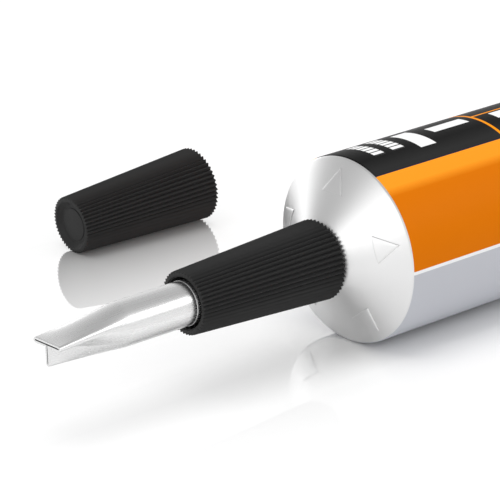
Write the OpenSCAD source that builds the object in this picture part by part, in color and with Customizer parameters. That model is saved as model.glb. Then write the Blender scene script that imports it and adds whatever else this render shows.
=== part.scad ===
// A cement tube lying on its side, with a crimped spreader spout held by a ribbed collar,
// and the ribbed storage cap that was taken off, beside it.
// The tube's axis runs along X: the spout points to -X and the folded tail to +X.

/* [Tube body] */
// Outside diameter of the round body
tube_d = 38; // [34:0.5:44]
// Length of the round part of the body, from the shoulder's edge
round_len = 75; // [60:1:100]
// Length over which the body flattens into its tail
taper_len = 84; // [65:1:100]
// Length of the folded strip that closes the tail
fold_len = 6; // [4:0.5:10]
// Thickness of the folded strip
fold_t = 1.6; // [1.2:0.1:2.4]
// Spacing of the crimp marks across the folded strip
crimp_pitch = 2; // [1.5:0.1:4]
// Depth of one crimp mark
crimp_depth = 0.15; // [0.05:0.05:0.3]

/* [Shoulder and neck] */
// Slope of the shoulder cone, measured from the plane across the tube
shoulder_slope = 31; // [25:1:36]
// Radius that rounds the shoulder into the body
shoulder_edge_r = 1; // [0.5:0.1:2]
// Outside diameter of the neck, over its thread
neck_d = 11; // [9.5:0.1:12]
// Length of the neck, from the shoulder cone to its mouth
neck_len = 9; // [7:0.5:12]
// Diameter of the bore in the neck
neck_bore_d = 6.8; // [5.6:0.1:7.4]
// Number of small triangles raised on the shoulder
mark_count = 5; // [3:1:6]
// Height of the raised triangles
mark_rise = 0.2; // [0.1:0.05:0.4]
// Width of one triangle across its base
mark_w = 5.5; // [3:0.5:7]
// Length of one triangle from its base to its outer corner
mark_len = 4.4; // [3:0.2:6]
// Distance from a triangle's outer corner to the tube's outside
mark_inset = 1.9; // [1.5:0.1:3]

/* [Ribbed cone of the collar and of the cap] */
// Length of the ribbed cone
cone_len = 34; // [30:0.5:40]
// Diameter over the rib tips at the wide end
cone_big_d = 16.2; // [15:0.1:19]
// Diameter over the rib tips at the narrow end
cone_small_d = 12.6; // [12:0.1:14]
// Number of ribs
rib_count = 48; // [36:2:60]
// Depth of the ribs at the wide end
rib_depth = 0.55; // [0.3:0.05:0.6]
// Chamfer across the rib ends at the wide end
big_chamfer = 0.5; // [0.3:0.1:0.8]
// Chamfer across the rib ends at the narrow end
small_chamfer = 0.6; // [0.3:0.1:0.8]
// Inside diameter of the smooth lip that stands round the narrow end
lip_d = 10.6; // [10.2:0.1:10.8]
// Height of the smooth lip
lip_h = 0.2; // [0.1:0.05:0.4]

/* [Collar bores] */
// Radial clearance of parts that turn or screw on each other
turn_gap = 0.05; // [0.02:0.01:0.1]
// Radial gap between the spout and the collar's open mouth
mouth_gap = 0.7; // [0.5:0.05:0.75]
// Length of the ring that guides the spout in the collar
guide_len = 5; // [3:0.5:8]
// Clearance between parts that lie face to face
face_gap = 0.05; // [0.02:0.01:0.1]
// Clearance between the collar's wide end and the shoulder
shoulder_gap = 0.3; // [0.3:0.05:0.6]
// Width of the countersink that fits the collar's wide end over the shoulder
seat_w = 1.2; // [0.8:0.1:1.5]
// Radial gap between the spout's flange and the collar's threaded bore
flange_gap = 0.35; // [0.2:0.05:0.6]

/* [Spout] */
// Outside diameter of the spout's free stretch
spout_d = 8.74; // [8:0.02:8.9]
// Step in radius from the free stretch to the stouter shank that the collar guides
shank_step = 0.23; // [0.2:0.01:0.28]
// Step in radius of the small rim where the free stretch leaves the collar
rim_step = 0.08; // [0.04:0.01:0.12]
// Wall thickness of the spout
spout_wall = 0.3; // [0.2:0.05:0.4]
// Free length of the spout, from the collar's mouth to its tip
spout_reach = 32.1; // [28:0.1:45]
// Length over which the round spout is pressed into a T
crimp_len = 16.5; // [12:0.5:20]
// Width of the T's flat wing
wing_w = 8.02; // [6.5:0.02:8.1]
// Height of the wing's top above the spout's axis
wing_rise = 1.2; // [0.8:0.05:1.4]
// Reach of the T's stem below the spout's axis
stem_drop = 3.65; // [3:0.05:3.8]
// Width of the slit that the pressed walls leave open
slit_w = 0.3; // [0.2:0.02:0.4]
// Thickness of the flange that the collar clamps on the neck
flange_t = 1; // [0.8:0.1:1.6]

/* [Storage cap] */
// Depth of the socket that screws onto the neck
socket_len = 11; // [9:0.5:13]
// Diameter of the hollow behind the socket
core_d = 8.4; // [6.4:0.1:8.8]
// Thickness of the closed end behind its dish
closed_end_t = 3; // [2:0.5:5]
// Diameter of the dish in the closed end
dish_d = 7; // [5:0.1:8]
// Depth of the dish in the closed end
dish_depth = 0.9; // [0.5:0.1:1.5]
// How far the cap's wide end lies behind the shoulder's edge, along the tube
cap_back = 26.8; // [20:0.1:40]
// How far the cap's wide end lies to the side of the tube's axis
cap_side = 78.6; // [60:0.1:100]
// Turn of the cap away from pointing straight along the tube
cap_turn = 2.4; // [0:0.1:10]

/* [Hidden] */

round_fn = 96;
// Widening of a cutter past the face that it opens, so that no skin is left
over = 1;

// Tube, measured from the shoulder's edge at 0 along the tube's axis
tube_r = tube_d / 2;
neck_r = neck_d / 2;
shoulder_rise = tan(shoulder_slope);
// Place along the axis where the shoulder cone has the given radius
function shoulder_at(r) = -(tube_r - r) * shoulder_rise;
neck_root = shoulder_at(neck_r);
neck_mouth = neck_root - neck_len;
// Half the thickness of the flattened body where it enters the fold
seam_r = fold_t / 3;
tail_start = round_len + taper_len;
tail_end = tail_start + fold_len;
// How far the flattening stretch lies under the round body where the two meet
taper_sink = 0.1;
taper_r = tube_r - taper_sink;
// Half the width of the straight part of a flattened section whose outline is as long as the tube's
function flat_half(r) = PI / 2 * (taper_r - r);
tail_half = flat_half(seam_r) + seam_r;
taper_rings = 12;
taper_points = 72;
// Steps of the arc that rounds the shoulder into the body
edge_steps = 6;
// Rate at which the flattening sets in along the taper
taper_ease = 1.6;
// How far a stretch reaches into its neighbour where the two are one piece
root_sink = 0.5;

// Ribbed cone, measured from its wide end
cone_big_r = cone_big_d / 2;
cone_small_r = cone_small_d / 2;
rib_step = 360 / rib_count;
lip_r = lip_d / 2;

// Collar and spout
thread_r = neck_r + turn_gap;
seat_r = thread_r + seat_w;
collar_base = shoulder_at(seat_r) - shoulder_gap;
collar_mouth = collar_base - cone_len;
spout_r = spout_d / 2;
shank_r = spout_r + shank_step;
rim_r = spout_r + rim_step;
flange_r = thread_r - flange_gap;
flange_back = neck_mouth - face_gap;
flange_front = flange_back - flange_t;
ledge = flange_front - face_gap;
guide_end = ledge - guide_len;
rim_end = collar_mouth - lip_h;
spout_tip = collar_mouth - spout_reach;
crimp_start = spout_tip + crimp_len;
bore_r = spout_r - spout_wall;
// Half the thickness of the pressed T: one wall and half the slit
crimp_wall = spout_wall + slit_w / 2;
crimp_rings = 14;
// How far the crimp's wall lies under the round wall's faces where the two meet
wall_sink = 0.02;
// Rate at which the pressing sets in along the crimp
crimp_ease = 1.15;
// Points along half the T: on its wing's top, under its wing, and on its stem
wing_points = 9;
under_points = 6;
stem_points = 6;
// Turn between the points round the folded edges, in degrees
fold_turn = 30;

// Storage cap
// Turn between the points of the dish's rounded edge, in degrees
dish_turn = 15;
cap_core_end = cone_len - dish_depth - closed_end_t;
// The cap rests on its two lowest rib tips, which tilts its axis down towards its narrow end
cap_tilt = atan((cone_big_r - cone_small_r) * cos(rib_step / 2) / cone_len);
cap_rest = cone_big_r * cos(rib_step / 2) * cos(cap_tilt);

// The origin is on the floor, in the middle of the ground that everything covers
cap_reach = cone_big_r * cos(cap_turn);
middle_x = (spout_tip + tail_end) / 2;
middle_y = (cap_side + cap_reach - tail_half) / 2;

// Moves children from the tube's own axis to their place in the part's frame
module place() {
    translate([-middle_x, -middle_y, 0]) children();
}

// Turns children that are built round Z, with +Z as the way to the tail, onto the tube's axis
module on_axis() {
    place() translate([0, 0, tube_r]) rotate([0, 90, 0]) children();
}

// Round bar or cutter between two places along the axis
module bar(from, to, r) {
    translate([0, 0, min(from, to)]) cylinder(h = abs(to - from), r = r, $fn = round_fn);
}

// Surface skinned over rings that all have the same number of points. It is closed by its first
// and last rings, or, as a hollow wall, by a skin from its last ring back to its first
module skin(rings, hollow = false) {
    n = len(rings[0]);
    count = len(rings);
    spans = hollow ? count : count - 1;
    sides = [for (k = [0:spans - 1], i = [0:n - 1], t = [0, 1])
        let (a = k * n + i, b = k * n + (i + 1) % n,
            c = (k + 1) % count * n + i, d = (k + 1) % count * n + (i + 1) % n)
        t == 0 ? [a, c, d] : [a, d, b]];
    ends = hollow ? [] : [[for (i = [0:n - 1]) i], [for (i = [n - 1:-1:0]) (count - 1) * n + i]];
    polyhedron(points = [for (ring = rings) each ring], faces = concat(sides, ends));
}

// One section of the flattening body: two half circles and the straight stretches between them
function body_ring(r, z) = [for (i = [0:taper_points - 1])
    let (a = (i + 0.5) * 360 / taper_points, side = a < 180 ? 1 : -1)
    [r * cos(a), side * flat_half(r) + r * sin(a), z]];

// The body keeps its outline's length as it flattens, so it swells sideways as its height goes
module tail_taper() {
    skin(concat([body_ring(taper_r, round_len - root_sink)],
        [for (k = [0:taper_rings])
            let (u = k / taper_rings)
            body_ring(taper_r - (taper_r - seam_r) * pow(u, taper_ease), round_len + u * taper_len)],
        [body_ring(seam_r, tail_start + root_sink)]));
}

// Folded strip that closes the tail, with crimp marks across both faces
module tail_fold() {
    marks = floor(2 * tail_half / crimp_pitch);
    step = 2 * tail_half / marks;
    edge = [for (i = [0:2 * marks])
        [fold_t / 2 - (i % 2 == 0 ? crimp_depth : 0), -tail_half + i * step / 2]];
    back = [for (i = [2 * marks:-1:0]) [-edge[i][0], edge[i][1]]];
    translate([0, 0, tail_start]) linear_extrude(height = fold_len) polygon(concat(edge, back));
}

// Outline of the shoulder and of the round body, turned about the tube's axis
module shoulder_and_body() {
    edge_turn = 90 - shoulder_slope;
    arc_r = tube_r - shoulder_edge_r;
    arc_z = shoulder_edge_r / cos(shoulder_slope) - shoulder_edge_r * shoulder_rise;
    rotate_extrude($fn = round_fn) polygon(concat(
        [[0, neck_root], [neck_r, neck_root]],
        [for (a = [edge_turn:-edge_turn / edge_steps:0])
            [arc_r + shoulder_edge_r * cos(a), arc_z - shoulder_edge_r * sin(a)]],
        [[tube_r, round_len], [0, round_len]]));
}

// Small raised triangles on the shoulder, each with one corner towards the body
module shoulder_marks() {
    outer = tube_r - mark_inset;
    inner = outer - mark_len;
    intersection() {
        translate([0, 0, -mark_rise / cos(shoulder_slope)]) shoulder_and_body();
        for (i = [0:mark_count - 1])
            rotate([0, 0, 180 + i * 360 / mark_count])
                translate([0, 0, neck_root])
                    linear_extrude(height = -neck_root)
                        polygon([[outer, 0], [inner, mark_w / 2], [inner, -mark_w / 2]]);
    }
}

module tube() {
    color("orange") on_axis() difference() {
        union() {
            shoulder_and_body();
            shoulder_marks();
            bar(neck_mouth, neck_root + root_sink, neck_r);
            tail_taper();
            tail_fold();
        }
        bar(neck_mouth - over, neck_root, neck_bore_d / 2);
    }
}

// Cone with sharp ribs, from its wide end at 0 to its narrow end at cone_len
module ribbed_cone() {
    difference() {
        intersection() {
            linear_extrude(height = cone_len, scale = cone_small_r / cone_big_r)
                polygon([for (i = [0:2 * rib_count - 1])
                    let (r = cone_big_r - (i % 2 == 0 ? 0 : rib_depth))
                    r * [cos((i + 1) * rib_step / 2), sin((i + 1) * rib_step / 2)]]);
            rotate_extrude($fn = round_fn) polygon([
                [0, 0],
                [cone_big_r - big_chamfer, 0],
                [cone_big_r + over, big_chamfer + over],
                [cone_big_r + over, cone_len - small_chamfer - (cone_big_r + over - cone_small_r)],
                [cone_small_r - small_chamfer, cone_len],
                [0, cone_len]]);
        }
        bar(cone_len - lip_h, cone_len + over, lip_r);
    }
}

// Screwed onto the neck, it clamps the spout's flange and lets the spout out of its narrow end
module collar() {
    color([0.16, 0.16, 0.17]) on_axis() difference() {
        translate([0, 0, collar_base]) rotate([180, 0, 0]) ribbed_cone();
        bar(collar_base + over, ledge, thread_r);
        bar(ledge + over, collar_mouth - over, shank_r + turn_gap);
        bar(guide_end, collar_mouth - over, spout_r + mouth_gap);
        // Countersink along the shoulder cone
        translate([0, 0, collar_base - seat_w * shoulder_rise])
            cylinder(h = (seat_w + over) * shoulder_rise, r1 = thread_r, r2 = seat_r + over,
                $fn = round_fn);
    }
}

// Corner points of the right half of the T, from the middle of its top to the middle of its foot,
// for a band of the given half thickness round the T's middle line
function tee_half(h) =
    let (wz = wing_rise - crimp_wall, wy = wing_w / 2 - crimp_wall, fz = crimp_wall - stem_drop)
    concat(
        [for (i = [0:wing_points - 1]) [i / wing_points * wy, wz + h]],
        [for (a = [90:-fold_turn:-90]) [wy + h * cos(a), wz + h * sin(a)]],
        [for (i = [1:under_points]) [wy + (h - wy) * i / under_points, wz - h]],
        [for (i = [1:stem_points]) [h, wz - h + (fz - wz + h) * i / stem_points]],
        [for (a = [-fold_turn:-fold_turn:-90]) [h * cos(a), fz + h * sin(a)]]);

// The whole T, with its left half mirrored from its right half
function tee(h) =
    let (half = tee_half(h), n = len(half))
    concat(half, [for (i = [n - 2:-1:1]) [-half[i][0], half[i][1]]]);

// How far along its outline each point of a closed ring lies, as a share of the whole
function steps(ring) = [for (i = [0:len(ring) - 1]) norm(ring[(i + 1) % len(ring)] - ring[i])];
function run(parts, i) = i == 0 ? 0 : run(parts, i - 1) + parts[i - 1];
function shares(ring) =
    let (parts = steps(ring), all = run(parts, len(parts)))
    [for (i = [0:len(ring) - 1]) run(parts, i) / all];

// Section of the crimp: a circle whose points move to their places on the T as u goes from 0 to 1
function crimp_ring(r, h, u, z) =
    let (flat = tee(h), share = shares(tee(crimp_wall)))
    [for (i = [0:len(flat) - 1])
        let (p = (1 - u) * r * [sin(360 * share[i]), cos(360 * share[i])] + u * flat[i])
        [-p[1], p[0], z]];

// The pressed end of the spout: its outside skinned from round to T, and its inside back again.
// It starts a little inside the round tube's wall, as one piece with it
module crimp() {
    function rings(r, h) = concat([crimp_ring(r, h, 0, crimp_start + root_sink)],
        [for (k = [0:crimp_rings])
            let (u = k / crimp_rings)
            crimp_ring(r, h, pow(u, crimp_ease), crimp_start - u * crimp_len)]);
    outside = rings(spout_r - wall_sink, crimp_wall);
    inside = rings(bore_r + wall_sink, slit_w / 2);
    skin(concat(outside, [for (k = [len(inside) - 1:-1:0]) inside[k]]), hollow = true);
}

// A drawn metal tube with a flange at its foot and its end pressed into an open T
module spout() {
    color("silver") on_axis() {
        difference() {
            union() {
                bar(flange_back, flange_front, flange_r);
                bar(flange_front, guide_end, shank_r);
                // The shank thins towards the collar's mouth
                translate([0, 0, rim_end])
                    cylinder(h = guide_end - rim_end, r1 = rim_r, r2 = shank_r, $fn = round_fn);
                bar(rim_end, crimp_start, spout_r);
            }
            bar(flange_back + over, crimp_start - over, bore_r);
        }
        crimp();
    }
}

// The cap as moulded, with its socket at 0 and its closed end at cone_len
module cap_body() {
    difference() {
        ribbed_cone();
        bar(-over, socket_len, thread_r);
        bar(0, cap_core_end, core_d / 2);
        // Dish in the closed end, with a rounded floor
        rotate_extrude($fn = round_fn) polygon(concat(
            [[0, cone_len - dish_depth]],
            [for (a = [-90:dish_turn:0])
                [dish_d / 2 - dish_depth / 2 * (1 - cos(a)),
                    cone_len - dish_depth / 2 + dish_depth / 2 * sin(a)]],
            [[dish_d / 2, cone_len + over], [0, cone_len + over]]));
    }
}

// Lying on its ribs beside the tube, with its closed end towards the spout's side
module storage_cap() {
    color([0.16, 0.16, 0.17]) place()
        translate([cap_back, cap_side, cap_rest])
            rotate([0, 0, 180 - cap_turn])
                rotate([0, 90 + cap_tilt, 0])
                    cap_body();
}

tube();
collar();
spout();
storage_cap();
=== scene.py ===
import math

import bmesh
import bpy
from mathutils import Matrix, Vector


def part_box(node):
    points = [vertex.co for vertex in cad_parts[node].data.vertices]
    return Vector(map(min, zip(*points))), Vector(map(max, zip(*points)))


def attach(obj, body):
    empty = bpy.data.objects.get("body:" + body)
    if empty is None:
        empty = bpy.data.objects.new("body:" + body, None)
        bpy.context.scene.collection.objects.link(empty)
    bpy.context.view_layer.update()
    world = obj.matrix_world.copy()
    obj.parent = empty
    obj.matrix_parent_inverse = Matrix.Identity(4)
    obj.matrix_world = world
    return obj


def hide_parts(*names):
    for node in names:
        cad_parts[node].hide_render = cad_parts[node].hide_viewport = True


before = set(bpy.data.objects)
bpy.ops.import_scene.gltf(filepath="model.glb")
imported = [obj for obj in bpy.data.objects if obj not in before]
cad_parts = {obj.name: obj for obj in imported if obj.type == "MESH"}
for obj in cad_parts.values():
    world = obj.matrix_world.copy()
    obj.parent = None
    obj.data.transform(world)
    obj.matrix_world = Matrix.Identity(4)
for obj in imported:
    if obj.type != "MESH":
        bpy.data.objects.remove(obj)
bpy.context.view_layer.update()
bpy.ops.object.select_all(action="DESELECT")
bpy.context.scene.view_settings.view_transform = "Standard"

# The tube's own axis, which every piece but the loose cap lies on. It runs along X, and the
# shoulder's edge, from which the lengths along it are measured, is where the print starts.
MM = 0.001
tube_low, tube_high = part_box("tube")
tube_r = tube_high.z / 2 / MM
round_len, taper_len, fold_len = 75, 84, 6
axis_y = (tube_low.y + tube_high.y) / 2
shoulder_x = tube_high.x - (round_len + taper_len + fold_len) * MM


def spot(x, y=0.0, z=0.0):
    """A place given in millimetres from the shoulder's edge on the tube's axis, in the frame."""
    return Vector((shoulder_x + x * MM, axis_y + y * MM, (tube_r + z) * MM))


# The camera stands to the left of the spout and looks along the tube from a low angle, as the
# photograph does. Its turn is given as its heading from +X, its dip and its lean.
heading, dip, lean = 0.866, -0.343, -0.030
ahead = Vector((math.cos(dip) * math.cos(heading), math.cos(dip) * math.sin(heading), math.sin(dip)))
level = ahead.cross(Vector((0, 0, 1))).normalized()
upright = level.cross(ahead)
right = level * math.cos(lean) + upright * math.sin(lean)
above = upright * math.cos(lean) - level * math.sin(lean)
bpy.ops.object.camera_add(location=spot(-372.232, -408.384, 197.771),
                          rotation=Matrix((right, above, -ahead)).transposed().to_euler())
camera = bpy.context.object
camera.data.sensor_width = 36
camera.data.lens = 215.85
bpy.context.scene.camera = camera


# The studio's floor is a white sheet with a soft gloss, and the room round it is pale. The gloss
# is stronger close to what lies on the floor, so that each piece is mirrored where it stands.
def add_node(tree, kind, inputs=None, **settings):
    """Adds a node, sets its settings, and feeds its inputs with values or other nodes' outputs."""
    made = tree.nodes.new(kind)
    for name, value in settings.items():
        setattr(made, name, value)
    for socket, value in (inputs or {}).items():
        if isinstance(value, bpy.types.NodeSocket):
            tree.links.new(value, made.inputs[socket])
        else:
            made.inputs[socket].default_value = value
    return made


def maths(tree, operation, *values):
    """The result of a maths node."""
    return add_node(tree, "ShaderNodeMath", dict(enumerate(values)), operation=operation).outputs[0]


def ramp(tree, value, start, end, first=0.0, last=1.0):
    """Goes from first to last as value goes from start to end, and stays there outside them."""
    return add_node(tree, "ShaderNodeMapRange", {0: value, 1: start, 2: end, 3: first, 4: last}).outputs[0]


def between(tree, value, low, high, edge):
    """1 where value lies from low to high, falling to 0 over edge outside them."""
    return maths(tree, "MULTIPLY", ramp(tree, value, low - edge, low),
                 ramp(tree, value, high, high + edge, 1.0, 0.0))


def grey(value):
    """An opaque grey of that linear strength."""
    return (value, value, value, 1.0)


def nearness(tree, place, near, far, start, end):
    """1 beside the line from near to far, falling to 0 towards the camera's side, and beyond it."""
    along = far - near
    across = Vector((along.y, -along.x, 0)).normalized()
    offset = add_node(tree, "ShaderNodeVectorMath", {0: place, 1: near}, operation="SUBTRACT")
    side = add_node(tree, "ShaderNodeVectorMath", {0: offset.outputs[0], 1: across}, operation="DOT_PRODUCT")
    forth = add_node(tree, "ShaderNodeVectorMath", {0: offset.outputs[0], 1: along.normalized()},
                     operation="DOT_PRODUCT")
    reach = between(tree, forth.outputs["Value"], -0.06, along.length + 0.02, 0.02)
    width = between(tree, side.outputs["Value"], -0.01, start, end - start)
    return maths(tree, "MULTIPLY", width, reach)


def seen(tree, value, unseen):
    """The value for the camera, for gleams and through glass, and unseen for the light it throws."""
    path = add_node(tree, "ShaderNodeLightPath").outputs
    looks = maths(tree, "MAXIMUM", path["Is Camera Ray"], path["Is Glossy Ray"])
    looks = maths(tree, "MAXIMUM", looks, path["Is Transmission Ray"])
    return ramp(tree, looks, 0, 1, unseen, value)


bpy.ops.mesh.primitive_plane_add(size=8)
floor = bpy.context.object
floor.name = "studio_floor"
sheet = bpy.data.materials.new("floor_sheet")
sheet.use_nodes = True
tree = sheet.node_tree
tree.nodes.clear()
place = add_node(tree, "ShaderNodeTexCoord").outputs["Object"]
cap_low, cap_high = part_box("storage_cap")
cap_y = (cap_low.y + cap_high.y) / 2
cap_gloss = nearness(tree, place, Vector((cap_low.x, cap_y, 0)), Vector((cap_high.x, cap_y, 0)), 0.0, 0.05)
tube_line = Vector((tube_low.x, axis_y, 0)), Vector((tube_high.x, axis_y, 0))
tube_gloss = nearness(tree, place, *tube_line, 0.0, 0.11)
under_gloss = nearness(tree, place, *tube_line, 0.0, 0.02)
mirror = 0.0
for patch_gloss, strength in ((cap_gloss, 0.7), (tube_gloss, 0.1), (under_gloss, 0.4)):
    mirror = maths(tree, "MAXIMUM", mirror, maths(tree, "MULTIPLY", patch_gloss, strength))
matt = add_node(tree, "ShaderNodeBsdfDiffuse", {"Color": grey(0.97)})
gloss = add_node(tree, "ShaderNodeBsdfGlossy", {"Color": grey(1.0), "Roughness": 0.02})
both = add_node(tree, "ShaderNodeMixShader", {0: mirror, 1: matt.outputs[0], 2: gloss.outputs[0]})
lift = add_node(tree, "ShaderNodeEmission", {0: grey(1.0), 1: seen(tree, 0.04, 0.0)})
sheet_look = add_node(tree, "ShaderNodeAddShader", {0: both.outputs[0], 1: lift.outputs[0]})
add_node(tree, "ShaderNodeOutputMaterial", {0: sheet_look.outputs[0]})
floor.data.materials.append(sheet)

# The room's walls fade upwards, and one part beyond the spout's tip is darker. A box overhead lights
# the print, and three more give the metal its gleams: one for the spout and two for the shoulder.
world = bpy.data.worlds.new("studio")
world.use_nodes = True
tree = world.node_tree
room = tree.nodes["Background"]
room.inputs["Color"].default_value = grey(1.0)
toward = add_node(tree, "ShaderNodeTexCoord").outputs["Generated"]
height = add_node(tree, "ShaderNodeSeparateXYZ", {0: toward}).outputs[2]
dark_way = (-0.58, 0.72, 0.38)
walls = ramp(tree, height, 0.35, 0.9, 0.97, 0.55)
beyond = add_node(tree, "ShaderNodeVectorMath", {0: toward, 1: dark_way}, operation="DOT_PRODUCT")
walls = maths(tree, "MULTIPLY", walls, ramp(tree, beyond.outputs["Value"], 0.75, 0.97, 1.0, 0.62))
glow = ramp(tree, height, 0.0, 0.6, 0.25, 0.75)
tree.links.new(seen(tree, walls, glow), room.inputs["Strength"])
bpy.context.scene.world = world


def soft_box(name, toward, distance, width, height, power, gleams=True):
    """A rectangular lamp in that direction from the shoulder, turned to face it."""
    way = Vector(toward).normalized()
    bpy.ops.object.light_add(type="AREA", location=spot(0) + way * distance,
                             rotation=way.to_track_quat("Z", "Y").to_euler())
    lamp = bpy.context.object
    lamp.name = name
    lamp.data.shape = "RECTANGLE"
    lamp.data.size = width
    lamp.data.size_y = height
    lamp.data.energy = power
    lamp.visible_camera = False
    lamp.visible_glossy = gleams


soft_box("overhead_box", (-0.1, -0.02, 0.98), 1.2, 0.8, 0.8, 5.2, gleams=False)
soft_box("key_box", (0.61, -0.632, 0.475), 0.9, 0.5, 0.3, 1.2)
soft_box("front_box", (-0.95, -0.05, 0.3), 0.9, 0.5, 0.5, 0.95)
soft_box("far_box", (0.1, 0.97, 0.12), 0.9, 0.6, 0.3, 0.9)


# The tube: impact-extruded aluminium with a threaded neck and a bare cone shoulder. Its body is
# printed, filled from behind, flattened and folded shut, so that its outline keeps its length.
def turned(name, outline, sides=192):
    """A piece grown ring by ring about the tube's axis, along an outline of (x, radius)."""
    x, r = outline[0]
    bpy.ops.mesh.primitive_circle_add(vertices=sides, radius=r * MM, location=spot(x),
                                      rotation=(0, math.pi / 2, 0))
    piece = bpy.context.object
    piece.name = name
    bpy.ops.object.transform_apply(location=True, rotation=True, scale=True)
    bpy.ops.object.mode_set(mode="EDIT")
    bpy.ops.mesh.select_mode(type="VERT")
    bpy.ops.mesh.select_all(action="SELECT")
    for step in zip(outline, outline[1:]):
        grow(*step)
    return piece


def grow(here, there):
    """Extrudes the selected ring to its next (x, radius)."""
    (x, r), (next_x, next_r) = here, there
    bpy.ops.mesh.extrude_region_move(TRANSFORM_OT_translate={"value": ((next_x - x) * MM, 0, 0)})
    bpy.ops.transform.resize(value=(1, next_r / r, next_r / r), center_override=spot(next_x))


def close_rings(piece, smooth=30):
    """Closes a grown piece: joins a last ring that lies on its first, or covers both open ends."""
    bpy.ops.mesh.select_all(action="SELECT")
    bpy.ops.mesh.remove_doubles(threshold=1e-6)
    bpy.ops.mesh.select_all(action="DESELECT")
    mesh = bmesh.from_edit_mesh(piece.data)
    open_edges = [edge for edge in mesh.edges if edge.is_boundary]
    if open_edges:
        bmesh.ops.holes_fill(mesh, edges=open_edges)
    bmesh.update_edit_mesh(piece.data)
    bpy.ops.mesh.select_all(action="SELECT")
    bpy.ops.mesh.normals_make_consistent(inside=False)
    bpy.ops.object.mode_set(mode="OBJECT")
    bpy.ops.object.shade_smooth_by_angle(angle=math.radians(smooth))


def arc(x, r, radius, start, end, count):
    """Points of an outline's arc about (x, r), with 0 degrees outwards and 90 towards the mouth."""
    turns = [math.radians(start + (end - start) * i / count) for i in range(count + 1)]
    return [(x - radius * math.sin(a), r + radius * math.cos(a)) for a in turns]


shoulder_slope = 31
slope = math.tan(math.radians(shoulder_slope))
neck_r, neck_core_r, neck_bore_r, neck_len = 5.5, 5.0, 3.4, 9
neck_root = -(tube_r - neck_r) * slope
neck_mouth = neck_root - neck_len
mouth_round = 0.3
edge_r = 1.0
edge_x = edge_r / math.cos(math.radians(shoulder_slope)) - edge_r * slope
core_root = -(tube_r - neck_core_r) * slope
outline = [(neck_root, neck_bore_r)]
outline += arc(neck_mouth + mouth_round, neck_bore_r + mouth_round, mouth_round, 180, 90, 4)
outline += arc(neck_mouth + mouth_round, neck_core_r - mouth_round, mouth_round, 90, 0, 4)
outline += [(core_root - 0.5, neck_core_r), (core_root - 0.1, neck_core_r + 0.15)]
outline += [(-(tube_r - r) * slope, r) for r in (5.6, 6.2, 8, 11, 14, 16.5)]
outline += arc(edge_x, tube_r - edge_r, edge_r, 90 - shoulder_slope, 0, 8)
outline += [(round_len * i / 6, tube_r) for i in range(1, 7)]
tube = turned("tube_body", outline)

fold_t = 1.6
seam_r = fold_t / 3
taper_r = tube_r - 0.1
taper_rings = 28


def taper_radius(share):
    """The radius left in the flattening body at a share of the taper."""
    return taper_r - (taper_r - seam_r) * share ** 1.6


last, flat = (round_len, tube_r), 0.0
for k in range(1, taper_rings + 1):
    share = k / taper_rings
    ring = (round_len + share * taper_len, taper_radius(share))
    grow(last, ring)
    next_flat = math.pi / 2 * (taper_r - ring[1])
    spread = (next_flat - flat * ring[1] / last[1]) * MM
    mesh = bmesh.from_edit_mesh(tube.data)
    for vert in mesh.verts:
        if vert.select and abs(vert.co.y - axis_y) > 1e-6:
            vert.co.y += math.copysign(spread, vert.co.y - axis_y)
    bmesh.update_edit_mesh(tube.data)
    last, flat = ring, next_flat
tail_half = flat + seam_r
close_rings(tube)

# The fold that closes the tail is rolled over twice and crimped across, and is part of the tube.
crimp_count = 29
crimp_pitch = 2 * tail_half / crimp_count
bpy.ops.mesh.primitive_cube_add(size=1, location=spot(round_len + taper_len + fold_len / 2, -tail_half),
                                scale=(fold_len * MM, 1e-4, fold_t * MM))
fold = bpy.context.object
bpy.ops.object.transform_apply(location=True, rotation=True, scale=True)
bpy.ops.object.mode_set(mode="EDIT")
bpy.ops.mesh.select_all(action="SELECT")
bpy.ops.mesh.delete(type="ONLY_FACE")
bpy.ops.mesh.select_all(action="DESELECT")
mesh = bmesh.from_edit_mesh(fold.data)
near_y = axis_y - tail_half * MM
bmesh.ops.delete(mesh, geom=[v for v in mesh.verts if v.co.y > near_y], context="VERTS")
for vert in mesh.verts:
    vert.co.y = near_y
bmesh.update_edit_mesh(fold.data)
bpy.ops.mesh.select_all(action="SELECT")
bpy.ops.mesh.bevel(offset=0.45 * MM, segments=5, affect="VERTICES")
bpy.ops.mesh.select_all(action="SELECT")
for k in range(4 * crimp_count):
    bpy.ops.mesh.extrude_region_move(TRANSFORM_OT_translate={"value": (0, crimp_pitch / 4 * MM, 0)})
    squeeze = (1 - 0.15 * (k % 4 in (1, 2))) / (1 - 0.15 * (k % 4 in (2, 3)))
    bpy.ops.transform.resize(value=(1, 1, squeeze), center_override=spot(0))
close_rings(fold, 50)


def wrap_print(piece):
    """Lays the print's map round the body: U runs along it, V round it from the top, and both
    keep their lengths where the body flattens."""
    span = math.pi * taper_r
    layer = piece.data.uv_layers.new(name="print")
    for face in piece.data.polygons:
        side = 1 if face.center.y < axis_y else -1
        for loop in face.loop_indices:
            co = piece.data.vertices[piece.data.loops[loop].vertex_index].co
            x, y, z = ((co.x - shoulder_x) / MM, abs(co.y - axis_y) / MM, co.z / MM - tube_r)
            r = taper_radius(min(max((x - round_len) / taper_len, 0), 1))
            straight = math.pi / 2 * (taper_r - r)
            lean = math.atan2(max(y - straight, 0), abs(z))
            length = min(y, straight) + r * lean
            if z < 0:
                length = span - length
            layer.data[loop].uv = (x / 200, 0.5 + side * length / span * 180 / 400)


def cone_x(co):
    """Where the shoulder's cone lies along X at a point's distance from the axis."""
    return spot(-(tube_r - math.hypot(co.y - axis_y, co.z - tube_r * MM) / MM) * slope).x


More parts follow.
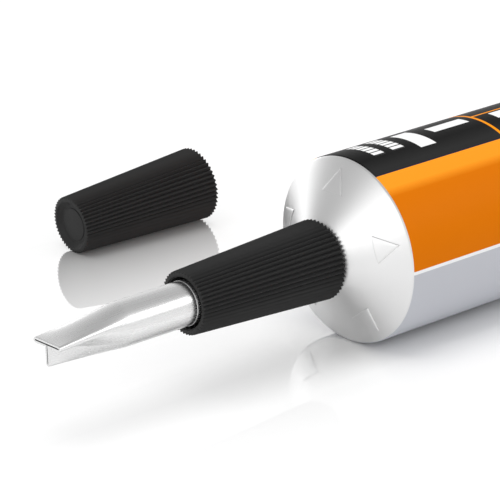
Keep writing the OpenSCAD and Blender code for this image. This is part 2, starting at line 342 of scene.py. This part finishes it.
# Five small triangles stand on the shoulder, pressed out with it, one corner towards the body.
mark_rise, mark_w, mark_len, mark_inset, mark_count = 0.2, 5.5, 4.4, 1.9, 5
outer_r = tube_r - mark_inset
bpy.ops.mesh.primitive_circle_add(vertices=3, radius=MM, fill_type="NGON")
mark = bpy.context.object
corners = [(0, outer_r), (mark_w / 2, outer_r - mark_len), (-mark_w / 2, outer_r - mark_len)]
for vert, (y, z) in zip(mark.data.vertices, corners):
    vert.co = spot(0, y, z)
bpy.ops.object.transform_apply(location=True, rotation=True, scale=True)
bpy.ops.object.mode_set(mode="EDIT")
bpy.ops.mesh.select_all(action="SELECT")
bpy.ops.mesh.subdivide(number_cuts=9)
bpy.ops.mesh.extrude_region_move(TRANSFORM_OT_translate={"value": (MM, 0, 0)})
mesh = bmesh.from_edit_mesh(mark.data)
for vert in mesh.verts:
    rise = -0.3 if vert.co.x > shoulder_x + MM / 2 else mark_rise / math.cos(math.atan(slope))
    vert.co.x = cone_x(vert.co) - rise * MM
bmesh.ops.recalc_face_normals(mesh, faces=mesh.faces)
bmesh.update_edit_mesh(mark.data)
bpy.ops.mesh.select_mode(type="EDGE")
bpy.ops.mesh.select_all(action="DESELECT")
mesh = bmesh.from_edit_mesh(mark.data)
for edge in mesh.edges:
    edge.select = edge.calc_face_angle(0) > 1 and all(v.co.x < cone_x(v.co) for v in edge.verts)
bmesh.update_edit_mesh(mark.data)
bpy.ops.mesh.bevel(offset=0.08 * MM, segments=2, affect="EDGES")
bpy.ops.object.mode_set(mode="OBJECT")
bpy.ops.object.shade_smooth_by_angle(angle=math.radians(20))
marks = [mark]
for k in range(1, mark_count):
    bpy.ops.object.duplicate()
    copy = bpy.context.object
    turn = Matrix.Rotation(2 * math.pi / mark_count, 4, "X")
    copy.data.transform(Matrix.Translation(spot(0)) @ turn @ Matrix.Translation(-spot(0)))
    marks.append(copy)


def thread(front, back, root, crest, shift=0.0):
    """A helical ridge of the screw, one turn to 1.5 mm, standing from the radius root to crest.
    It fades out at both ends."""
    pitch, per_turn, fade, half_root, half_crest = 1.5, 48, 16, 0.4, 0.14
    count = int((back - front) / pitch * per_turn)
    side = math.copysign(0.1, crest - root)
    points = []
    for k in range(count + 1):
        x = front + (back - front) * k / count
        turn = -2 * math.pi * (x / pitch + shift)
        top = root + (crest - root) * min(1, k / fade, (count - k) / fade)
        points += [spot(x + w, r * math.sin(turn), r * math.cos(turn))
                   for w, r in ((-half_root, root - side), (-half_crest, top), (half_crest, top),
                                (half_root, root - side))]
    sides = [(4 * k + i, 4 * k + (i + 1) % 4, 4 * k + 4 + (i + 1) % 4, 4 * k + 4 + i)
             for k in range(count) for i in range(4)]
    shape = bpy.data.meshes.new("thread")
    ends = [(0, 1, 2, 3), tuple(4 * count + i for i in range(4))]
    shape.from_pydata(points, [], sides + ends)
    ridge = bpy.data.objects.new("thread", shape)
    bpy.context.collection.objects.link(ridge)
    bpy.ops.object.select_all(action="DESELECT")
    ridge.select_set(True)
    bpy.context.view_layer.objects.active = ridge
    bpy.ops.object.mode_set(mode="EDIT")
    bpy.ops.mesh.select_all(action="SELECT")
    bpy.ops.mesh.normals_make_consistent(inside=False)
    bpy.ops.object.mode_set(mode="OBJECT")
    bpy.ops.object.shade_smooth_by_angle(angle=math.radians(30))
    return ridge


def join_to(piece, *others):
    """Makes the others part of the piece's own mesh."""
    bpy.ops.object.select_all(action="DESELECT")
    for other in others:
        other.select_set(True)
    piece.select_set(True)
    bpy.context.view_layer.objects.active = piece
    bpy.ops.object.join()


def fine_grain():
    """The surfaces' shared fine unevenness: a value from 0 to 1 and the normal that it gives."""
    tree = bpy.data.node_groups.new("fine_grain", "ShaderNodeTree")
    tree.interface.new_socket("Place", in_out="INPUT", socket_type="NodeSocketVector")
    for name, value in (("Scale", 1.0), ("Relief", 0.1), ("Depth", 0.00002)):
        tree.interface.new_socket(name, in_out="INPUT", socket_type="NodeSocketFloat").default_value = value
    tree.interface.new_socket("Value", in_out="OUTPUT", socket_type="NodeSocketFloat")
    tree.interface.new_socket("Normal", in_out="OUTPUT", socket_type="NodeSocketVector")
    given = add_node(tree, "NodeGroupInput").outputs
    noise = add_node(tree, "ShaderNodeTexNoise", {"Vector": given["Place"], "Scale": given["Scale"],
                                                  "Detail": 4.0, "Roughness": 0.6}).outputs[0]
    bump = add_node(tree, "ShaderNodeBump", {"Strength": given["Relief"], "Distance": given["Depth"],
                                             "Height": noise}).outputs[0]
    add_node(tree, "NodeGroupOutput", {"Value": noise, "Normal": bump})
    return tree


grain_group = fine_grain()


def grained(material, stretch, scale, relief, rough_low, rough_high, place=None):
    """Gives a material's shader the grain, stretched along the axes, and a roughness that follows it."""
    tree = material.node_tree
    shader = tree.nodes["Principled BSDF"]
    place = place or add_node(tree, "ShaderNodeTexCoord").outputs["Object"]
    drawn = add_node(tree, "ShaderNodeVectorMath", {0: place, 1: stretch}, operation="MULTIPLY").outputs[0]
    grain = add_node(tree, "ShaderNodeGroup", node_tree=grain_group)
    tree.links.new(drawn, grain.inputs["Place"])
    grain.inputs["Scale"].default_value = scale
    grain.inputs["Relief"].default_value = relief
    tree.links.new(grain.outputs["Normal"], shader.inputs["Normal"])
    tree.links.new(ramp(tree, grain.outputs["Value"], 0.3, 0.7, rough_low, rough_high),
                   shader.inputs["Roughness"])
    return grain.outputs["Value"]


join_to(tube, fold, thread(neck_mouth + 0.5, core_root - 1, neck_core_r, neck_r), *marks)
wrap_print(tube)

lacquer = bpy.data.materials.new("printed_lacquer")
lacquer.use_nodes = True
tree = lacquer.node_tree
shader = tree.nodes["Principled BSDF"]
uv = add_node(tree, "ShaderNodeUVMap", uv_map="print")
split = add_node(tree, "ShaderNodeSeparateXYZ", {0: uv.outputs[0]})
along = maths(tree, "MULTIPLY", split.outputs[0], 200.0)
around = maths(tree, "MULTIPLY", maths(tree, "SUBTRACT", split.outputs[1], 0.5), 400.0)
away = maths(tree, "ABSOLUTE", around)


def paint(tree, mask, under, over):
    """The colour under, covered by the colour over where mask is 1."""
    mix = add_node(tree, "ShaderNodeMix", {0: mask, 6: under, 7: over}, data_type="RGBA")
    return mix.outputs[2]


def patch(tree, along, around, corner, size):
    """1 inside a rectangle of the print, at (along in mm, degrees round from the top)."""
    return maths(tree, "MULTIPLY", between(tree, along, corner[0], corner[0] + size[0], 0.12),
                 between(tree, around, corner[1], corner[1] + size[1], 0.35))


# The print's edges are in degrees round from the top. White shapes and thin orange lines stand in
# for its wording. A painted highlight, a lighter band of colour in place of a lamp's gleam, runs along both
# sides of the black panel's edge.
black_edge, highlight_edge, highlight_fade, orange_edge, stripe_edge = 26.9, 37.0, 43.0, 89.55, 91.55
soft = 0.1
frame_x, frame_turn = 35.0, -4.4
silver = (0.545, 0.558, 0.60, 1.0)
orange, highlight_orange = (0.73, 0.181, 0.0025, 1.0), (1.0, 0.34, 0.02, 1.0)
black, highlight_black, navy = grey(0.007), grey(0.026), (0.01, 0.016, 0.05, 1.0)
white, line_orange = grey(0.92), (1.0, 0.32, 0.006, 1.0)
color = paint(tree, ramp(tree, away, stripe_edge + soft, stripe_edge - soft), silver, white)
color = paint(tree, ramp(tree, away, orange_edge + soft, orange_edge - soft), color, orange)
# Painted highlight: a lighter orange runs beside the black panel's edge and fades out further round.
color = paint(tree, ramp(tree, away, highlight_fade, highlight_edge), color, highlight_orange)
color = paint(tree, ramp(tree, away, black_edge + soft, black_edge - soft), color, navy)
# Painted highlight: the black panel turns a lighter grey from 11 to 22 degrees round, towards its edge.
panel = paint(tree, ramp(tree, away, 11.0, 22.0), black, highlight_black)
bars = ((16.0, -13.0), (4.0, 27.0)), ((23.5, -7.0), (9.5, 9.0)), ((39.5, -1.0), (3.5, 9.0))
for corner, size in bars:
    panel = paint(tree, patch(tree, along, around, corner, size), panel, white)
rows_from, rows_turn, dash_step = -17.0, 25.8, 4.3
dashes = maths(tree, "FRACT", maths(tree, "DIVIDE", maths(tree, "SUBTRACT", around, rows_from), dash_step))
dashes = between(tree, dashes, 0.08, 0.78, 0.06)
for row, length in ((5.2, 2.6), (10.2, 2.9)):
    dash_row = patch(tree, along, around, (row, rows_from), (length, rows_turn))
    panel = paint(tree, maths(tree, "MULTIPLY", dash_row, dashes), panel, white)
panel = paint(tree, patch(tree, along, around, (frame_x, -30.0), (0.6, 60.0)), panel, line_orange)
panel = paint(tree, patch(tree, along, around, (frame_x, frame_turn), (130.0, 1.2)), panel, line_orange)
color = paint(tree, ramp(tree, away, black_edge - 0.5, black_edge - 0.8), color, panel)
tree.links.new(color, shader.inputs["Base Color"])
shader.inputs["Specular IOR Level"].default_value = 0.02
grained(lacquer, (900, 900, 900), 1.0, 0.15, 0.34, 0.42)
tube.data.materials.append(lacquer)

# The shoulder was turned, so its grain runs in rings about the tube's axis.
bare = bpy.data.materials.new("bare_aluminium")
bare.use_nodes = True
shader = bare.node_tree.nodes["Principled BSDF"]
shader.inputs["Base Color"].default_value = grey(0.75)
shader.inputs["Metallic"].default_value = 1.0
tree = bare.node_tree
place = add_node(tree, "ShaderNodeTexCoord").outputs["Object"]
about = add_node(tree, "ShaderNodeVectorMath", {0: place, 1: spot(0)}, operation="SUBTRACT").outputs[0]
about = add_node(tree, "ShaderNodeVectorMath", {0: about, 1: (0, 1, 1)}, operation="MULTIPLY").outputs[0]
radius = add_node(tree, "ShaderNodeVectorMath", {0: about}, operation="LENGTH").outputs["Value"]
rings = add_node(tree, "ShaderNodeCombineXYZ", {0: radius}).outputs[0]
grained(bare, (6000, 1, 1), 1.0, 0.25, 0.33, 0.43, rings)
tube.data.materials.append(bare)
print_start, print_end = 0.05, round_len + taper_len
for face in tube.data.polygons:
    x = (face.center.x - shoulder_x) / MM
    face.material_index = 0 if print_start <= x <= print_end else 1

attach(tube, "tube")
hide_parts("tube")


# The collar: moulded black plastic, a cone with 48 ribs for the fingers. It screws onto the neck
# and clamps the spout's flange, and the spout comes out of its narrow end.
cone_len, big_r, small_r, rib_count, rib_depth = 34, 8.1, 6.3, 48, 0.7
rib_form = (-1, -0.5, 0, -0.5)
seat_r, thread_r, thread_crest, lip_r = 6.75, 5.55, 5.1, 5.3
collar_base = -(tube_r - seat_r) * slope - 0.3


def press_ribs(piece, depth):
    """Presses the valleys between the ribs into the selected ring, or with a minus out again."""
    mesh = bmesh.from_edit_mesh(piece.data)
    for vert in mesh.verts:
        if vert.select:
            spoke = vert.co - Vector((vert.co.x, axis_y, tube_r * MM))
            step = round(math.degrees(math.atan2(spoke.z, spoke.y)) * rib_count * 4 / 360) % 4
            vert.co += spoke.normalized() * rib_form[step] * depth * MM
    bmesh.update_edit_mesh(piece.data)


def ribbed_cone(name, inside_start, inside_end):
    """A ribbed cone with its wide end at the collar's base, between two inside outlines, which
    are measured from the wide end and run towards it and back from the narrow end."""
    inside_start = [(collar_base - x, r) for x, r in inside_start]
    inside_end = [(collar_base - x, r) for x, r in inside_end]
    first = (collar_base, 7.2)
    full = (collar_base, big_r - 0.03)
    thin = (collar_base - cone_len + 0.08, small_r)
    ring = (collar_base - cone_len + 0.02, 5.7)
    last = (collar_base - cone_len, 5.6)
    piece = turned(name, inside_start + [first], sides=4 * rib_count)
    grow(first, full)
    press_ribs(piece, rib_depth)
    grow(full, thin)
    grow(thin, ring)
    press_ribs(piece, -rib_depth * ring[1] / full[1])
    grow(ring, last)
    for step in zip([last] + inside_end, inside_end):
        grow(*step)
    return piece


neck_seat = neck_mouth - 0.05 - 1 - 0.05
ledge = collar_base - neck_seat
guide_end, guide_r, mouth_r = ledge + 5, 4.65, 5.07
collar = ribbed_cone("ribbed_collar",
                     [(1.2 * slope, thread_r), (0, seat_r)],
                     [(cone_len, lip_r), (cone_len - 0.2, lip_r), (cone_len - 0.2, mouth_r),
                      (guide_end, mouth_r), (guide_end, guide_r), (ledge, guide_r), (ledge, thread_r),
                      (1.2 * slope, thread_r)])
close_rings(collar, 35)
join_to(collar, thread(neck_mouth + 0.2, collar_base - 1.6, thread_r, thread_crest, 0.5))

plastic = bpy.data.materials.new("moulded_plastic")
plastic.use_nodes = True
shader = plastic.node_tree.nodes["Principled BSDF"]
shader.inputs["Base Color"].default_value = grey(0.03)
shader.inputs["Specular IOR Level"].default_value = 0.15
grained(plastic, (2500, 2500, 2500), 1.0, 0.5, 0.45, 0.6)
collar.data.materials.append(plastic)
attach(collar, "collar")
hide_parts("collar")

# The storage cap: the same ribbed cone, closed at its narrow end by a sunk floor with a low disc. It
# was taken off for the spout, and lies on its ribs beside the tube, its open end to the rear.
disc_r, sunk, disc_top, core_r = 3.6, 0.9, 0.72, 4.2
cap = ribbed_cone("storage_cap_shell",
                  [(30.1, 0.5), (30.1, core_r), (11, core_r), (11, thread_r), (0, thread_r)],
                  [(cone_len, lip_r), (cone_len - 0.2, lip_r - 0.15), (cone_len - sunk, disc_r + 0.7),
                   (cone_len - sunk, disc_r + 0.1), (cone_len - disc_top - 0.03, disc_r),
                   (cone_len - disc_top, disc_r - 0.2), (cone_len - disc_top, 0.5)])
close_rings(cap, 35)
join_to(cap, thread(collar_base - 10, collar_base - 1, thread_r, thread_crest, 0.5))
tilt = math.atan((big_r - small_r) * math.cos(math.radians(3.75)) / cone_len)
rest = big_r * math.cos(math.radians(3.75)) * math.cos(tilt)
lie = Matrix.Translation(spot(26.8, 78.6, rest - tube_r))
lie @= Matrix.Rotation(math.radians(-2.4), 4, "Z") @ Matrix.Rotation(-tilt, 4, "Y")
lie @= Matrix.Translation(-spot(collar_base))
cap.data.transform(lie)
cap.data.materials.append(plastic)
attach(cap, "tube")
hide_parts("storage_cap")

# The spout: a drawn metal tube with a flange at its foot. Its outer end is pressed into a T, which
# spreads the cement: a flat wing on top and a fin below, both with folded edges.
free_r, bore_r, shank_r, flange_r, flange_t, pressed_wall = 4.37, 4.07, 4.6, 5.2, 1, 0.45
wing_half, wing_top, stem_foot, slit = 4.01, 1.2, 3.65, 0.2
collar_mouth = collar_base - cone_len
tip = collar_mouth - 32.1
crimp_len = 16.5
crimp_start = tip + crimp_len
press_h = pressed_wall + slit / 2


def tee(h):
    """The pressed T's outline, as (y, z), for a band of half thickness h round its middle line."""
    wz, wy, fz = wing_top - press_h, wing_half - press_h, press_h - stem_foot
    half = [(i / 20 * wy, wz + h) for i in range(20)]
    half += [(wy + h * math.cos(a), wz + h * math.sin(a)) for a in
             (math.radians(90 - 15 * i) for i in range(13))]
    half += [(wy + (h - wy) * i / 14, wz - h) for i in range(1, 15)]
    half += [(h, wz - h + (fz - wz + h) * i / 12) for i in range(1, 13)]
    half += [(h * math.cos(a), fz + h * math.sin(a)) for a in (math.radians(-15 * i) for i in range(1, 7))]
    return half + [(-y, z) for y, z in half[-2:0:-1]]


def shares(points):
    """How far round the closed outline each point lies, from 0 to 1."""
    steps = [math.dist(a, b) for a, b in zip(points, points[1:] + points[:1])]
    return [sum(steps[:i]) / sum(steps) for i in range(len(points))]


rounds = [(math.sin(2 * math.pi * s), math.cos(2 * math.pi * s)) for s in shares(tee(press_h))]


def pressed(x, r, h, u):
    """A ring of the spout at x, from round at u = 0 to the T at u = 1."""
    return [spot(x, (1 - u) * r * c[0] + u * t[0], (1 - u) * r * c[1] + u * t[1])
            for c, t in zip(rounds, tee(h))]


flange = neck_mouth - 0.05
guide_x = collar_base - guide_end
outside = [(flange, flange_r - 0.1), (flange - 0.1, flange_r), (flange - flange_t + 0.1, flange_r),
           (flange - flange_t, flange_r - 0.1), (flange - flange_t, shank_r), (guide_x, shank_r),
           (collar_mouth - 0.15, free_r + 0.08), (collar_mouth - 0.2, free_r + 0.05),
           (collar_mouth - 0.2, free_r)]
rings = [pressed(x, r, press_h, 0) for x, r in outside]
crimp_rings = 60
steps = [k / crimp_rings for k in range(crimp_rings + 1)]
lip = 0.05
rings += [pressed(crimp_start - s * (crimp_len - lip), free_r, press_h, s ** 1.15) for s in steps]
rings += [pressed(tip, free_r, press_h - lip, 1), pressed(tip, free_r, slit / 2 + lip, 1)]
rings += [pressed(crimp_start - s * (crimp_len - lip), bore_r, slit / 2, s ** 1.15) for s in reversed(steps)]
rings += [pressed(flange, bore_r, slit / 2, 0)]
sides = len(rounds)
count = len(rings)
faces = [(k * sides + i, k * sides + (i + 1) % sides,
          (k + 1) % count * sides + (i + 1) % sides, (k + 1) % count * sides + i)
         for k in range(count) for i in range(sides)]
shape = bpy.data.meshes.new("crimped_spout")
shape.from_pydata([co for ring in rings for co in ring], [], faces)
spout = bpy.data.objects.new("crimped_spout", shape)
bpy.context.collection.objects.link(spout)
bpy.ops.object.select_all(action="DESELECT")
spout.select_set(True)
bpy.context.view_layer.objects.active = spout
bpy.ops.object.mode_set(mode="EDIT")
bpy.ops.mesh.select_all(action="SELECT")
bpy.ops.mesh.normals_make_consistent(inside=False)
bpy.ops.object.mode_set(mode="OBJECT")
bpy.ops.object.shade_smooth_by_angle(angle=math.radians(40))
metal = bpy.data.materials.new("spout_metal")
metal.use_nodes = True
shader = metal.node_tree.nodes["Principled BSDF"]
shader.inputs["Metallic"].default_value = 1.0
streaks = grained(metal, (60, 2500, 2500), 1.0, 0.03, 0.25, 0.31)
metal.node_tree.links.new(paint(metal.node_tree, ramp(metal.node_tree, streaks, 0.3, 0.7),
                                grey(0.70), grey(0.74)), shader.inputs["Base Color"])
spout.data.materials.append(metal)
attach(spout, "spout")
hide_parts("spout")
